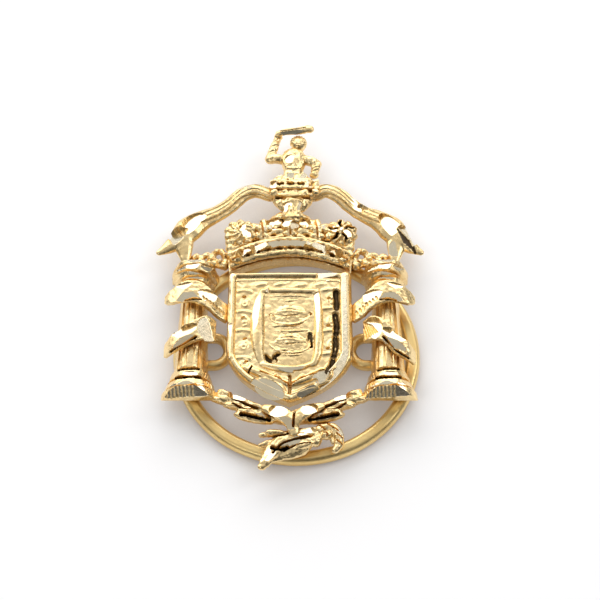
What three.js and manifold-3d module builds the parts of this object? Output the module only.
// A pierced coat-of-arms cap badge: small cast pieces soldered to a wire ring, with two hinged wire
// loops at the back. Millimetres, +Z is the front of the badge, +Y its top. The pieces are placed
// from the middle of the ring, with the shield's middle on x = 0 and the ring's filed back on z = 0;
// the last lines move the whole badge so that the origin is the middle of its back.
import * as THREE from "three";
import { mergeVertices } from "three/addons/utils/BufferGeometryUtils.js";
import Module from "manifold-3d";

const wasm = await Module();
wasm.setup();

// ---------------------------------------------------------------------------- driving dimensions
// Ring of wire that carries everything
const ringAbove = 3.6; // the wire's middle line passes this far above the shield's top
const ringBelow = 5.6; // and this far below its point
const wireDiameter = 1.7;
const wireFlat = 0.1; // rolled off the wire, front and back, so that the castings bed on it
const ringOffset = 0.8; // the ring sits this far to the right of the shield's middle

// Hinged loops at the back
const hingeInset = 1; // hinge axis inside the pillars' middle lines
const loopLength = 3.9; // hinge axis to the loop's free edge
const loopWidth = 5.1;
const loopWire = 1.3;
const hingePinDiameter = 0.72;
const hingeBore = 1.04;
const hingeGap = 0.35; // between the tube's ends and the loop's arms
const loopHeight = 0.4; // the loops' middle above the ring's middle
const armOverlap = 0.2; // the arms end this far past the pin's middle

// Shield
const shieldWidth = 14.8;
const shieldHeight = 18;
const shieldCurve = 7; // height of the part whose sides curve in to the point
const plateThickness = 1.4;
const rimWidth = 1.1;
const rimHeight = 1;
const innerWidth = 7.6;
const innerDrop = 2.1; // inner rim below the shield's top
const innerLift = 4.3; // and above its point
const innerRimWidth = 0.95;
const borderHeight = 0.4;
const fieldHeight = 0.3;
const bowlHeight = 0.75;

// Crown
const crownRise = 2.2; // of its arched lower edge
const crownBandHeight = 2.5;
const crownBodyThickness = 1.5;
const crownBandThickness = 1.5;
const crownHeight = 8.6;
const rosetteRadius = 1.75;
const rosetteInset = 1.3; // rosettes' middles inside the crown's sides
const rosetteDrop = 2.9; // and below its top
const rosetteHeight = 1.3;
const fleuronGap = 1.05; // fleurons' middles inside the rosettes' edges
const crownKnobRadius = 0.85;

// Crest above the crown
const crestShift = 0.3; // the crest leans to the right
const footingOverlap = 1; // the footing laps over the front of the crown
const footingHeight = 2.6;
const towerHeight = 2.9;
const towerHalfWidth = 2.9;
const merlonGap = 0.15;
const wreathHeight = 1.3;
const wreathHalfWidth = 2.2;
const torsoHeight = 3.6;
const waistHalfWidth = 1.1;
const shoulderHalfWidth = 1.5;
const headRadius = 1;
const limbWidth = 0.9;
const crestLift = 0.4; // in front of the castings' back
const crestThickness = 2.1;

// Pillars
const pillarInset = 2.2; // their middle lines inside the ring's wire
const capitalRise = 1.2; // above the shield's top
const capitalHeight = 3.9;
const capitalHalfWidth = 2.85;
const shaftLift = 4.4; // shafts' feet above the shield's point
const shaftTopHalfWidth = 1.6;
const shaftFootHalfWidth = 2.05;
const shaftDepth = 2.7;
const baseHeight = 3.8;
const baseHalfWidth = 3.45;
const wrapThickness = 0.75;
const wrapClearance = 0.3;
const wrapOverhang = 3.2; // past the pillars' middle lines
const wrapInnerReach = 2.9; // the lower wraps' inner ends
const upperWrapDrop = 1.4; // its middle below the capital
const upperWrapWidth = 1.9;
const lowerWrapWidth = 2.3;

// Ribbons, branches and the dragon
const ribbonThickness = 1.3;
const ribbonLift = 0.7;
const branchDepth = 2;
const branchWidth = 1.9;
const branchDrop = 3.1; // from the pillars' feet down to where the branches cross
const tieThickness = 0.9;
const dragonGap = 0.65; // between the branches and the dragon
const dragonHeight = 4.8;

// ------------------------------------------------------------------------------- derived heights
const wireRadius = wireDiameter / 2;
const ringRadius = (ringAbove + shieldHeight + ringBelow) / 2; // to the wire's middle line
const castBack = wireDiameter - 2 * wireFlat; // the castings' common back plane
const ringMiddle = castBack / 2;
const plateFront = castBack + plateThickness;
const crownFront = castBack + crownBodyThickness;
const shieldTop = ringRadius - ringAbove;
const shieldPoint = shieldTop - shieldHeight;
const shieldShoulder = shieldPoint + shieldCurve;
const innerTop = shieldTop - innerDrop;
const innerBottom = shieldPoint + innerLift;
const crownHalfWidth = shieldWidth / 2;
const crownTop = shieldTop + crownHeight;
const rosetteSpread = crownHalfWidth - rosetteInset;
const rosetteLevel = crownTop - rosetteDrop;
const fleuronSpread = rosetteSpread - rosetteRadius - fleuronGap;
const footingBottom = crownTop - footingOverlap;
const footingTop = footingBottom + footingHeight;
const pillarSpread = ringRadius - pillarInset;
const hingeReach = pillarSpread - hingeInset;
const capitalTop = shieldTop + capitalRise;
const shaftBottom = shieldPoint + shaftLift;
const wrapOuterReach = pillarSpread + wrapOverhang;
const capitalBottom = capitalTop - capitalHeight;
const shaftFront = castBack + shaftDepth;
const baseBottom = shaftBottom - baseHeight;
const towerTop = footingTop + towerHeight;
const wreathTop = towerTop + wreathHeight;
const torsoTop = wreathTop + torsoHeight;
const crestBack = castBack + crestLift;
const crestFront = crestBack + crestThickness;
const ribbonBack = castBack + ribbonLift;
const branchFront = castBack + branchDepth;
const hingeTubeLength = loopWidth - 2 * loopWire - 2 * hingeGap;

// ------------------------------------------------------------------------------------- materials
const polishedGold = { color: 0xe6c67c, roughness: 0.24, metalness: 1 };
const cutGold = { color: 0xf1dda6, roughness: 0.12, metalness: 1 };
const satinGold = { color: 0xc9a558, roughness: 0.42, metalness: 1 };

const badge = new THREE.Group();

function add(name, geometry, finish) {
  const mesh = new THREE.Mesh(geometry, new THREE.MeshStandardMaterial(finish));
  mesh.name = name;
  badge.add(mesh);
  return mesh;
}

// ------------------------------------------------------------------------------ shape and solids
function toSolid(geometry) {
  const bare = geometry.index ? geometry.toNonIndexed() : geometry.clone();
  bare.deleteAttribute("normal");
  bare.deleteAttribute("uv");
  const merged = mergeVertices(bare, 1e-4);
  return new wasm.Manifold(new wasm.Mesh({
    numProp: 3,
    vertProperties: new Float32Array(merged.attributes.position.array),
    triVerts: new Uint32Array(merged.index.array),
  }));
}

function toGeometry(solid) {
  const { vertProperties, triVerts } = solid.getMesh();
  const geometry = new THREE.BufferGeometry();
  geometry.setAttribute("position", new THREE.BufferAttribute(new Float32Array(vertProperties), 3));
  geometry.setIndex(new THREE.BufferAttribute(new Uint32Array(triVerts), 1));
  const flat = geometry.toNonIndexed();
  flat.computeVertexNormals();
  return flat;
}

function join(...pieces) {
  return toGeometry(pieces.map(toSolid).reduce((whole, piece) => whole.add(piece)));
}

function cut(body, ...tools) {
  return toGeometry(tools.map(toSolid).reduce((rest, tool) => rest.subtract(tool), toSolid(body)));
}

// A flat piece between two heights, with its front edge bevelled off by `bevel`.
function slab(shape, back, front, bevel = 0, curveSegments = 8) {
  const geometry = new THREE.ExtrudeGeometry(shape, {
    depth: front - back - bevel,
    bevelEnabled: bevel > 0,
    bevelThickness: bevel,
    bevelSize: bevel,
    bevelOffset: -bevel,
    bevelSegments: 1,
    curveSegments,
  });
  geometry.translate(0, 0, back);
  if (bevel > 0) {
    // The bevel is made on both faces; the back one is pressed flat against the piece's back.
    const place = geometry.attributes.position;
    for (let i = 0; i < place.count; i++) {
      if (place.getZ(i) < back) place.setZ(i, back);
    }
  }
  return geometry;
}

function polygon(points) {
  return new THREE.Shape(points.map(([x, y]) => new THREE.Vector2(x, y)));
}

function box(x0, x1, y0, y1, z0, z1) {
  const geometry = new THREE.BoxGeometry(x1 - x0, y1 - y0, z1 - z0);
  return geometry.translate((x0 + x1) / 2, (y0 + y1) / 2, (z0 + z1) / 2);
}

// An outline with one smooth edge out and another one back.
function between(outEdge, backEdge, samples = 14) {
  const along = (points) => new THREE.SplineCurve(points.map(([x, y]) => new THREE.Vector2(x, y)))
    .getPoints(samples);
  return new THREE.Shape([...along(outEdge), ...along(backEdge)]);
}

// A strip of even width along a smooth line, tapered to `endWidth` at its far end.
function strip(points, width, endWidth = width, samples = 12) {
  const line = new THREE.SplineCurve(points.map(([x, y]) => new THREE.Vector2(x, y)));
  const sides = [1, -1].map((side) => Array.from({ length: samples + 1 }, (_, i) => {
    const t = i / samples;
    const half = (width + (endWidth - width) * t) / 2;
    const tangent = line.getTangent(t);
    return line.getPoint(t).add(new THREE.Vector2(-tangent.y, tangent.x).multiplyScalar(side * half));
  }));
  return new THREE.Shape([...sides[1], ...sides[0].reverse()]);
}

function mirrored(points, side) {
  const flipped = points.map(([x, y]) => [side * x, y]);
  return side < 0 ? flipped.reverse() : flipped;
}

// A dome of a given outline, sitting on the plane z = back.
function dome(x, y, back, radiusX, radiusY, height, segments = 16) {
  const profile = [new THREE.Vector2(0, 0), new THREE.Vector2(1, 0)];
  const rings = 3;
  for (let i = 1; i < rings; i++) {
    const angle = (i / rings) * (Math.PI / 2);
    profile.push(new THREE.Vector2(Math.cos(angle), Math.sin(angle)));
  }
  profile.push(new THREE.Vector2(0, 1));
  return new THREE.LatheGeometry(profile, segments)
    .rotateX(Math.PI / 2).scale(radiusX, radiusY, height).translate(x, y, back);
}

// ------------------------------------------------------------------------- ring, tubes and loops
function wireSection(middleDistance) {
  const half = Math.asin((wireRadius - wireFlat) / wireRadius);
  const sides = 5;
  const points = [];
  for (const turn of [0, Math.PI]) {
    for (let i = 0; i <= sides; i++) {
      const angle = turn - half + (2 * half * i) / sides;
      points.push(new THREE.Vector2(
        middleDistance + wireRadius * Math.cos(angle),
        wireRadius * Math.sin(angle),
      ));
    }
  }
  points.push(points[0].clone());
  return points;
}

function ringFrame() {
  return new THREE.LatheGeometry(wireSection(ringRadius), 56)
    .rotateX(Math.PI / 2).translate(ringOffset, 0, ringMiddle);
}

// A tube along Y whose outer section has flats front and back.
function hingeTube(side) {
  const sides = 12;
  const apothem = ringMiddle;
  const outer = apothem / Math.cos(Math.PI / sides);
  const round = (radius) => Array.from({ length: sides }, (_, i) => {
    const angle = ((i + 0.5) * 2 * Math.PI) / sides;
    return new THREE.Vector2(radius * Math.cos(angle), radius * Math.sin(angle));
  });
  const section = new THREE.Shape(round(outer));
  section.holes.push(new THREE.Path(round(hingeBore / 2 / Math.cos(Math.PI / sides))));
  return new THREE.ExtrudeGeometry(section, { depth: hingeTubeLength, bevelEnabled: false })
    .rotateX(Math.PI / 2)
    .translate(side * hingeReach, loopHeight + hingeTubeLength / 2, ringMiddle);
}

// A D of thick wire whose thin straight pin turns in the tube.
function lugLoop(side) {
  const arcRadius = loopWidth / 2 - loopWire / 2;
  const arcMiddle = hingeReach - loopLength + loopWidth / 2;
  const armEnd = hingeReach + armOverlap;
  const path = new THREE.CurvePath();
  const arm = (from, to, y) => new THREE.LineCurve3(
    new THREE.Vector3(side * from, loopHeight + y, ringMiddle),
    new THREE.Vector3(side * to, loopHeight + y, ringMiddle),
  );
  const wire = new THREE.Shape(Array.from({ length: 10 }, (_, i) => {
    const angle = (i * 2 * Math.PI) / 10;
    return new THREE.Vector2(Math.cos(angle), Math.sin(angle)).multiplyScalar(loopWire / 2);
  }));
  path.add(arm(armEnd, arcMiddle, -arcRadius));
  const steps = 14;
  const turn = (i) => {
    const angle = -Math.PI / 2 - (i * Math.PI) / steps;
    return new THREE.Vector3(
      side * (arcMiddle + arcRadius * Math.cos(angle)),
      loopHeight + arcRadius * Math.sin(angle),
      ringMiddle,
    );
  };
  for (let i = 0; i < steps; i++) path.add(new THREE.LineCurve3(turn(i), turn(i + 1)));
  path.add(arm(arcMiddle, armEnd, arcRadius));
  const bow = new THREE.ExtrudeGeometry(wire, { extrudePath: path, steps: 34, bevelEnabled: false });
  const pin = new THREE.CylinderGeometry(
    hingePinDiameter / 2, hingePinDiameter / 2, 2 * arcRadius, 10,
  ).translate(side * hingeReach, loopHeight, ringMiddle);
  return join(bow, pin);
}

add("ring_frame", ringFrame(), satinGold);
for (const [hand, side] of [["left", -1], ["right", 1]]) {
  add(`hinge_tube_${hand}`, hingeTube(side), satinGold);
  add(`lug_loop_${hand}`, lugLoop(side), satinGold);
}

// ---------------------------------------------------------------------------------------- shield
function shieldShape(inset) {
  const half = shieldWidth / 2 - inset;
  const point = shieldPoint + 1.3 * inset;
  const belly = shieldShoulder + 0.6 * (shieldPoint - shieldShoulder) + inset;
  const shape = new THREE.Shape();
  shape.moveTo(-half, shieldTop - inset);
  shape.lineTo(-half, shieldShoulder);
  shape.quadraticCurveTo(-half + 0.2, belly, 0, point);
  shape.quadraticCurveTo(half - 0.2, belly, half, shieldShoulder);
  shape.lineTo(half, shieldTop - inset);
  return shape;
}

function innerShape(inset) {
  const half = innerWidth / 2 - inset;
  const low = innerBottom + 1.1 * inset;
  return polygon([
    [-half, innerTop - inset], [-half, low + 1.6], [-half * 0.55, low + 0.35], [0, low],
    [half * 0.55, low + 0.35], [half, low + 1.6], [half, innerTop - inset],
  ]);
}

function frameOf(outer, inner) {
  outer.holes.push(inner);
  return outer;
}

const borderMiddle = (shieldWidth / 2 - rimWidth + innerWidth / 2) / 2;
const borderWidth = shieldWidth / 2 - rimWidth - innerWidth / 2;
const bossHalfWidth = 0.3 * borderWidth;

function borderBand() {
  const band = slab(frameOf(shieldShape(rimWidth), innerShape(0)), plateFront, plateFront + borderHeight);
  const bosses = [];
  const rows = 4;
  const pitch = (innerTop - shieldShoulder) / rows;
  const sink = borderHeight / 2;
  for (let row = 0; row < rows; row++) {
    for (const side of [-1, 1]) {
      bosses.push(dome(
        side * borderMiddle, innerTop - pitch * (row + 0.5), plateFront + sink, bossHalfWidth, 0.85, 0.75, 10,
      ));
    }
  }
  for (const side of [-1, 0, 1]) {
    const high = (innerTop + shieldTop - rimWidth) / 2;
    bosses.push(dome(side * borderMiddle * 0.5, high, plateFront + sink, bossHalfWidth, 0.35, 0.6, 10));
    const low = innerBottom - 1 + 0.6 * Math.abs(side);
    bosses.push(dome(side * borderMiddle * 0.55, low, plateFront + sink, bossHalfWidth, 0.55, 0.7, 10));
  }
  return join(band, ...bosses);
}

add("shield_plate", slab(shieldShape(0), castBack, plateFront), polishedGold);
add("shield_rim", slab(frameOf(shieldShape(0), shieldShape(rimWidth)),
  plateFront, plateFront + rimHeight, 0.3), cutGold);
add("shield_border", borderBand(), polishedGold);
add("inner_rim", slab(frameOf(innerShape(0), innerShape(innerRimWidth)),
  plateFront, plateFront + rimHeight, 0.25), cutGold);
add("inner_field", slab(innerShape(innerRimWidth), plateFront, plateFront + fieldHeight), polishedGold);

function fieldBowl(y) {
  const rx = innerWidth / 2 - innerRimWidth - 0.35;
  const ry = 0.32 * (innerTop - innerRimWidth - innerBottom) / 2;
  const bowl = dome(0, y, plateFront + fieldHeight, rx, ry, bowlHeight, 16);
  const groove = (i) => box(i - 0.12, i + 0.12, y - ry, y + ry * 0.2,
    plateFront + fieldHeight + 0.3, plateFront + fieldHeight + 2 * bowlHeight);
  return cut(bowl, groove(-1.1), groove(0), groove(1.1));
}
const fieldMiddle = (innerTop - innerRimWidth + innerBottom + innerRimWidth) / 2;
const bowlPitch = (innerTop - innerBottom) / 3;
add("bowl_upper", fieldBowl(fieldMiddle + bowlPitch / 2), polishedGold);
add("bowl_lower", fieldBowl(fieldMiddle - bowlPitch / 2), polishedGold);

// ----------------------------------------------------------------------------------------- crown
// The arched edge of the crown, at a height above the shield's top.
function crownArc(height, halfWidth = crownHalfWidth, count = 12) {
  return Array.from({ length: count + 1 }, (_, i) => {
    const x = -halfWidth + (2 * halfWidth * i) / count;
    return [x, shieldTop + height + crownRise * (1 - (x / crownHalfWidth) ** 2)];
  });
}

function crownBody() {
  const upper = [
    [crownHalfWidth, shieldTop], [crownHalfWidth + 0.3, shieldTop + 2.4],
    [rosetteSpread + 1.4, rosetteLevel - 0.6], [rosetteSpread + 1.1, rosetteLevel + 0.9],
    [rosetteSpread - 0.2, rosetteLevel + 1.4], [fleuronSpread + 1.3, crownTop - 2.1],
    [fleuronSpread + 0.2, crownTop - 0.9], [2.2, crownTop - 1.1], [1.4, crownTop],
  ];
  const left = upper.map(([x, y]) => [-x, y]).reverse();
  const lower = crownArc(0, crownHalfWidth, 12).slice(1, -1);
  return slab(polygon([[-crownHalfWidth, shieldTop], ...lower, ...upper, ...left.slice(0, -1)]),
    castBack, crownFront);
}

function crownBand() {
  const lower = crownArc(0.2, crownHalfWidth - 0.3);
  const upper = crownArc(0.2 + crownBandHeight, crownHalfWidth - 0.3).reverse();
  const band = slab(polygon([...lower, ...upper]), crownFront, crownFront + crownBandThickness, 0.5);
  const gems = [];
  for (const place of [-0.66, -0.33, 0, 0.33, 0.66]) {
    const x = place * crownHalfWidth;
    const y = shieldTop + 0.2 + crownBandHeight / 2 + crownRise * (1 - place ** 2);
    gems.push(dome(x, y, crownFront + crownBandThickness - 0.2, 0.85, 0.6, 0.6, 12));
  }
  return join(band, ...gems);
}

function rosette(side) {
  const petals = 7;
  const count = petals * 4;
  const outline = Array.from({ length: count }, (_, i) => {
    const angle = (i * 2 * Math.PI) / count;
    const radius = rosetteRadius * (0.86 + 0.14 * Math.cos(petals * angle));
    return [side * rosetteSpread + radius * Math.cos(angle), rosetteLevel + radius * Math.sin(angle)];
  });
  const flower = slab(polygon(outline), crownFront, crownFront + rosetteHeight - 0.4, 0.35);
  const eye = dome(side * rosetteSpread, rosetteLevel, crownFront + rosetteHeight - 0.6, 0.6, 0.6, 0.6, 12);
  return join(flower, eye);
}

// A three-lobed leaf standing on the crown's band.
function fleuron(x, foot, top, halfWidth) {
  const mid = foot + 0.55 * (top - foot);
  return slab(polygon([
    [x - 0.35 * halfWidth, foot], [x + 0.35 * halfWidth, foot], [x + 0.45 * halfWidth, mid - 0.4],
    [x + halfWidth, mid - 0.2], [x + halfWidth, mid + 0.4], [x + 0.5 * halfWidth, mid + 0.4],
    [x + 0.35 * halfWidth, top], [x - 0.35 * halfWidth, top], [x - 0.5 * halfWidth, mid + 0.4],
    [x - halfWidth, mid + 0.4], [x - halfWidth, mid - 0.2], [x - 0.45 * halfWidth, mid - 0.4],
  ]), crownFront, crownFront + 1, 0.2);
}

const bandTop = (x) => shieldTop + 0.2 + crownBandHeight + crownRise * (1 - (x / crownHalfWidth) ** 2);

add("crown_body", crownBody(), polishedGold);
add("crown_band", crownBand(), cutGold);
for (const [hand, side] of [["left", -1], ["right", 1]]) {
  add(`rosette_${hand}`, rosette(side), polishedGold);
  const x = side * fleuronSpread;
  add(`fleuron_${hand}`, fleuron(x, bandTop(x) + 0.3, crownTop - 0.6, 1), polishedGold);
}
add("crown_knob", join(
  fleuron(0, bandTop(0) + 0.1, footingBottom - 0.1, 0.9),
  dome(0, footingBottom - 1, crownFront + 0.8, crownKnobRadius, crownKnobRadius, 0.8, 14),
), polishedGold);

// Leaf scrolls that fill the corner between the crown and each capital.
function cornerLeaf(side) {
  const inner = crownHalfWidth + 0.35;
  const outer = pillarSpread + 0.6;
  const outline = mirrored([
    [inner, capitalTop], [outer, capitalTop], [outer + 0.2, capitalTop + 1], [outer - 1.2, capitalTop + 1.1],
    [outer - 1.6, capitalTop + 2.2], [outer - 2.6, capitalTop + 1.4], [outer - 3.4, capitalTop + 2.6],
    [inner + 0.2, capitalTop + 1.6],
  ], side);
  return slab(polygon(outline), castBack, castBack + 1.6, 0.3);
}

// --------------------------------------------------------------------------------------- pillars
// A bevelled half-column along Y, which may change its width from bottom to top.
function halfColumn(side, y0, y1, lowHalf, highHalf, lowDepth, highDepth = lowDepth) {
  const corner = 0.55;
  const section = polygon([
    [-1, 0], [-1, corner], [-corner, 1], [corner, 1], [1, corner], [1, 0],
  ]);
  const geometry = new THREE.ExtrudeGeometry(section, { depth: 1, bevelEnabled: false });
  const place = geometry.attributes.position;
  for (let i = 0; i < place.count; i++) {
    const up = place.getZ(i);
    const half = lowHalf + (highHalf - lowHalf) * up;
    const depth = lowDepth + (highDepth - lowDepth) * up;
    place.setXYZ(
      i, side * pillarSpread - place.getX(i) * half, y0 + (y1 - y0) * up, castBack + place.getY(i) * depth,
    );
  }
  return geometry;
}

const bite = 0.05; // parts of one casting run into each other by this much

function capital(side) {
  const bottom = capitalBottom;
  const widest = capitalHalfWidth;
  return join(
    halfColumn(side, bottom, bottom + 1.1, widest - 0.7, widest - 0.4, 3.1),
    halfColumn(side, bottom + 1.1 - bite, bottom + 2.5, widest - 0.4, widest, 3.2, 3.5),
    halfColumn(side, bottom + 2.5 - bite, capitalTop, widest - 0.25, widest - 0.25, 3.2),
  );
}

function base(side) {
  const top = shaftBottom;
  return join(
    halfColumn(side, top - 0.9, top, baseHalfWidth - 1, baseHalfWidth - 1.1, 3.1),
    halfColumn(side, top - 3, top - 0.9 + bite, baseHalfWidth - 0.2, baseHalfWidth - 1.2, 3.4, 3),
    halfColumn(side, baseBottom, top - 3 + bite, baseHalfWidth, baseHalfWidth, 3.5),
  );
}

// A ribbon laid over the shaft: it rests on the shaft's front and turns back beside it.
function wrap(side, middle, width, innerEnd, outerEnd, sag, tilt) {
  const flat = 0.55 * shaftFootHalfWidth;
  const clear = shaftFootHalfWidth + wrapClearance;
  const inner = pillarSpread - innerEnd;
  const outer = outerEnd - pillarSpread;
  const crest = shaftFront + wrapThickness;
  const low = castBack + 0.8;
  const section = polygon([
    [-inner, low], [-clear, low], [-clear, castBack + 0.6 * shaftDepth], [-flat - 0.1, shaftFront],
    [flat + 0.1, shaftFront], [clear, castBack + 0.6 * shaftDepth], [clear, low], [outer, low],
    [outer, low + wrapThickness], [clear + 0.4, castBack + 0.75 * shaftDepth], [flat + 0.4, crest],
    [-flat - 0.4, crest], [-clear - 0.4, castBack + 0.75 * shaftDepth], [-inner, low + 1],
  ]);
  const geometry = new THREE.ExtrudeGeometry(section, { depth: width, bevelEnabled: false });
  const place = geometry.attributes.position;
  for (let i = 0; i < place.count; i++) {
    const x = place.getX(i);
    const span = x < 0 ? x / inner : x / outer;
    const y = middle - width / 2 + place.getZ(i) - sag * span * span - tilt * span;
    place.setXYZ(i, side * (pillarSpread + x), y, place.getY(i));
  }
  if (side > 0) {
    // Swapping the section's two axes turns the faces round once, so this hand is turned back.
    for (let i = 0; i < place.count; i += 3) {
      const [x, y, z] = [place.getX(i), place.getY(i), place.getZ(i)];
      place.setXYZ(i, place.getX(i + 1), place.getY(i + 1), place.getZ(i + 1));
      place.setXYZ(i + 1, x, y, z);
    }
  }
  return geometry;
}

for (const [hand, side] of [["left", -1], ["right", 1]]) {
  add(`corner_leaf_${hand}`, cornerLeaf(side), polishedGold);
  add(`capital_${hand}`, capital(side), cutGold);
  add(`shaft_${hand}`, halfColumn(side, shaftBottom, capitalBottom, shaftFootHalfWidth, shaftTopHalfWidth,
    shaftDepth), polishedGold);
  add(`base_${hand}`, base(side), cutGold);
  const upper = capitalBottom - upperWrapDrop;
  const upperWrap = wrap(side, upper, upperWrapWidth, shieldWidth / 2, wrapOuterReach, 0.9, 0);
  add(`upper_wrap_${hand}`, upperWrap, cutGold);
  const fall = side < 0 ? 1.5 : 2.2;
  const lower = (capitalBottom + shaftBottom) / 2 - 0.75 - fall / 3;
  const innerEnd = pillarSpread - wrapInnerReach;
  const lowerWrap = wrap(side, lower, lowerWrapWidth, innerEnd, wrapOuterReach - 0.2, 0, fall);
  add(`lower_wrap_${hand}`, lowerWrap, cutGold);
}

// --------------------------------------------------------------------------------- crest figure
function centred(points) {
  return polygon(points.map(([x, y]) => [x + crestShift, y]));
}

const footingFoot = fleuronSpread - 1.1; // half width between the fleurons
const footingNeck = 0.68 * footingFoot;
add("crest_footing", slab(centred([
  [-footingFoot, footingBottom], [footingFoot, footingBottom], [footingNeck, footingBottom + 1.2],
  [footingNeck, footingTop], [-footingNeck, footingTop], [-footingNeck, footingBottom + 1.2],
]), crownFront, crestFront + 0.4, 0.3), polishedGold);

function tower() {
  const battlement = towerTop - 1;
  const body = slab(centred([
    [-1.6, footingTop], [1.6, footingTop], [towerHalfWidth, footingTop + 0.8],
    [towerHalfWidth, battlement + 0.1], [-towerHalfWidth, battlement + 0.1],
    [-towerHalfWidth, footingTop + 0.8],
  ]), crestBack, crestFront + 0.4, 0.3);
  const merlons = [];
  const pitch = (2 * towerHalfWidth) / 4;
  for (let i = 0; i < 4; i++) {
    const left = crestShift - towerHalfWidth + pitch * i;
    const right = left + pitch - merlonGap;
    merlons.push(box(left + merlonGap, right, battlement, towerTop, crestBack + 0.2, crestFront + 0.2));
  }
  return join(body, ...merlons);
}

const torsoMiddle = crestShift + 0.1;
function torso() {
  const y = wreathTop;
  return slab(polygon([
    [torsoMiddle - waistHalfWidth, y], [torsoMiddle + waistHalfWidth, y],
    [torsoMiddle + waistHalfWidth, y + 0.4 * torsoHeight],
    [torsoMiddle + shoulderHalfWidth, y + 0.75 * torsoHeight],
    [torsoMiddle + shoulderHalfWidth, torsoTop - 0.2], [torsoMiddle + 0.6, torsoTop],
    [torsoMiddle - 0.6, torsoTop], [torsoMiddle - shoulderHalfWidth, torsoTop - 0.2],
    [torsoMiddle - shoulderHalfWidth, y + 0.75 * torsoHeight],
    [torsoMiddle - waistHalfWidth, y + 0.4 * torsoHeight],
  ]), crestBack + 0.2, crestFront, 0.35);
}

function head() {
  const middle = torsoTop + 0.7 + headRadius;
  const skull = new THREE.SphereGeometry(headRadius, 16, 10)
    .scale(0.86, 1, 0.92).translate(torsoMiddle + 0.6, middle, (crestBack + crestFront) / 2);
  const neck = box(torsoMiddle - 0.2, torsoMiddle + 0.75, torsoTop, middle,
    crestBack + 0.6, crestFront - 0.5);
  return join(skull, neck);
}

const shoulderLine = torsoTop - 0.75;
const armBack = crestBack + 0.4;
const armFront = crestFront - 0.3;
const leftShoulder = torsoMiddle - shoulderHalfWidth;
const rightShoulder = torsoMiddle + shoulderHalfWidth;
const handHeight = torsoTop + 3;
const knifeTop = handHeight + 1.2;

function limb(points) {
  const parts = [];
  for (let i = 1; i < points.length; i++) {
    const [a, b] = [points[i - 1], points[i]];
    const along = Math.atan2(b[1] - a[1], b[0] - a[0]);
    const length = Math.hypot(b[0] - a[0], b[1] - a[1]);
    const piece = new THREE.BoxGeometry(length + 0.6 * limbWidth, limbWidth, armFront - armBack)
      .rotateZ(along)
      .translate((a[0] + b[0]) / 2, (a[1] + b[1]) / 2, (armBack + armFront) / 2);
    parts.push(piece);
  }
  return toSolid(join(...parts));
}

// Arms are trimmed to the plane of the shoulder that they meet.
function trimmedArm(points, side, plane) {
  const keep = side < 0 ? box(-9, plane, 15, 40, -1, 9) : box(plane, 9, 15, 40, -1, 9);
  return toGeometry(limb(points).intersect(toSolid(keep)));
}

add("crest_tower", tower(), polishedGold);
add("crest_wreath", slab(centred([
  [-wreathHalfWidth, towerTop], [wreathHalfWidth, towerTop], [wreathHalfWidth - 0.3, wreathTop],
  [-wreathHalfWidth + 0.3, wreathTop],
]), crestBack + 0.2, crestFront + 0.2, 0.3), polishedGold);
add("figure_torso", torso(), polishedGold);
add("figure_head", head(), polishedGold);
add("raised_arm", trimmedArm([
  [leftShoulder + 0.5, shoulderLine], [leftShoulder - 1.7, shoulderLine + 0.2],
  [leftShoulder - 0.5, handHeight],
], -1, leftShoulder), polishedGold);
add("lowered_arm", trimmedArm([
  [rightShoulder - 0.5, shoulderLine], [rightShoulder + 1.6, shoulderLine - 0.7],
  [rightShoulder + 1.2, shoulderLine - 2.8],
], 1, rightShoulder), polishedGold);
add("knife", slab(polygon([
  [leftShoulder - 0.2, handHeight - 0.15], [leftShoulder + 3.4, handHeight + 0.6],
  [leftShoulder + 3.9, handHeight + 1.1], [leftShoulder + 3.2, knifeTop],
  [leftShoulder - 0.4, handHeight + 0.55],
]), armFront, armFront + 0.5, 0.15), cutGold);

// -------------------------------------------------------------------------------------- mantling
// A long ribbon from the tower down to a tail above each capital.
function ribbon(side) {
  const root = crestShift + side * towerHalfWidth;
  const shift = (x) => side * x;
  const top = towerTop;
  const over = pillarSpread;
  const upper = [
    [root, top - 0.95], [shift(4.9), top + 0.4], [shift(6.6), top - 1], [shift(8.8), top - 3.1],
    [shift(over + 0.8), capitalTop + 6.9], [shift(over + 2.9), capitalTop + 4.7],
    [shift(over + 3.7), capitalTop + 3.1], [shift(over + 5), capitalTop + 2],
  ];
  const lower = [
    [shift(over + 3.9), capitalTop + 1.3], [shift(over + 2.5), capitalTop + 2.3],
    [shift(over + 1.5), capitalTop], [shift(over + 0.9), capitalTop], [shift(over + 0.2), capitalTop + 3.7],
    [shift(over - 1.7), capitalTop + 6], [shift(7.2), top - 3.9], [shift(5.4), top - 2.1], [root, top - 1.9],
  ];
  const back = new THREE.SplineCurve(upper.map(([x, y]) => new THREE.Vector2(x, y))).getPoints(18);
  const front = lower.map(([x, y]) => new THREE.Vector2(x, y));
  const points = [...back, ...front];
  return slab(new THREE.Shape(points), ribbonBack, ribbonBack + ribbonThickness, 0.3);
}
add("ribbon_left", ribbon(-1), cutGold);
add("ribbon_right", ribbon(1), cutGold);

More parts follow.
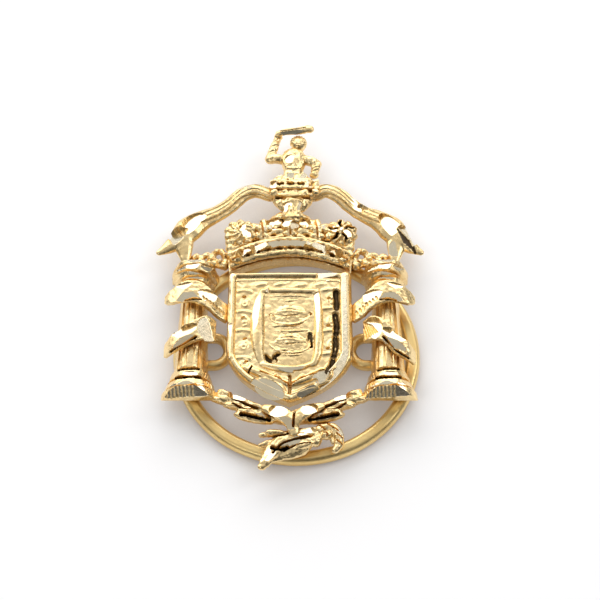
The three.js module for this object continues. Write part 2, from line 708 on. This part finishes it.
// --------------------------------------------------------------------------- branches and dragon
const footInner = pillarSpread - baseHalfWidth;
const branchStart = baseBottom + 0.9;
const crossing = branchStart - branchDrop;
const dragonTop = crossing - branchWidth / 2 - dragonGap;
const branchMiddle = 0.5;

function branch(side) {
  const half = branchWidth / 2;
  const end = branchMiddle;
  const upper = [[side * footInner, branchStart + half], [side * 5.2, branchStart - 0.6 + half],
    [side * 2.8, branchStart - 2 + half], [end, crossing + half]];
  const lower = [[end, crossing - half], [side * 2.6, branchStart - 2.2 - half],
    [side * 5, branchStart - 0.8 - half], [side * footInner, branchStart - half]];
  return slab(between(upper, lower, 7), castBack, branchFront, 0.5);
}

const dragonShoulder = 2.9; // the body's right side, where the neck starts
function dragonBody() {
  const y = dragonTop;
  return slab(polygon([
    [-2.9, y - 0.7], [-2, y], [dragonShoulder, y], [dragonShoulder, y - 1.7], [2, y - 2.7],
    [1.2, y - dragonHeight + 0.9],
    [-1, y - dragonHeight + 0.9], [-3.6, y - dragonHeight], [-2, y - dragonHeight + 1.9],
    [-2.1, y - 2], [-3.6, y - 2], [-3.4, y - 1.2],
  ]), castBack, branchFront, 0.3);
}

function dragonNeck() {
  const y = dragonTop;
  const curve = strip([
    [dragonShoulder - 0.8, y - 0.9], [dragonShoulder + 0.6, y - 0.3], [4.6, y + 0.6], [5.5, y + 0.2],
    [5.8, y - 1], [5.4, y - 2.2],
  ], 1.1, 0.8, 16);
  const side = box(dragonShoulder, 9, y - 9, y + 9, castBack - 1, branchFront + 1);
  return toGeometry(toSolid(slab(curve, castBack, branchFront, 0.25)).intersect(toSolid(side)));
}

for (const [hand, side] of [["left", -1], ["right", 1]]) {
  add(`branch_${hand}`, branch(side), polishedGold);
}
add("dragon_body", dragonBody(), polishedGold);
add("dragon_neck", dragonNeck(), polishedGold);
add("branch_tie", slab(polygon([
  [branchMiddle - 1.2, crossing + 0.4], [branchMiddle + 1.2, crossing + 0.4],
  [branchMiddle + 1.2, dragonTop - 1], [branchMiddle - 1.2, dragonTop - 1],
]), branchFront, branchFront + tieThickness, 0.25), cutGold);

const badgeBottom = dragonTop - dragonHeight;
badge.position.y = -(knifeTop + badgeBottom) / 2;

export default badge;
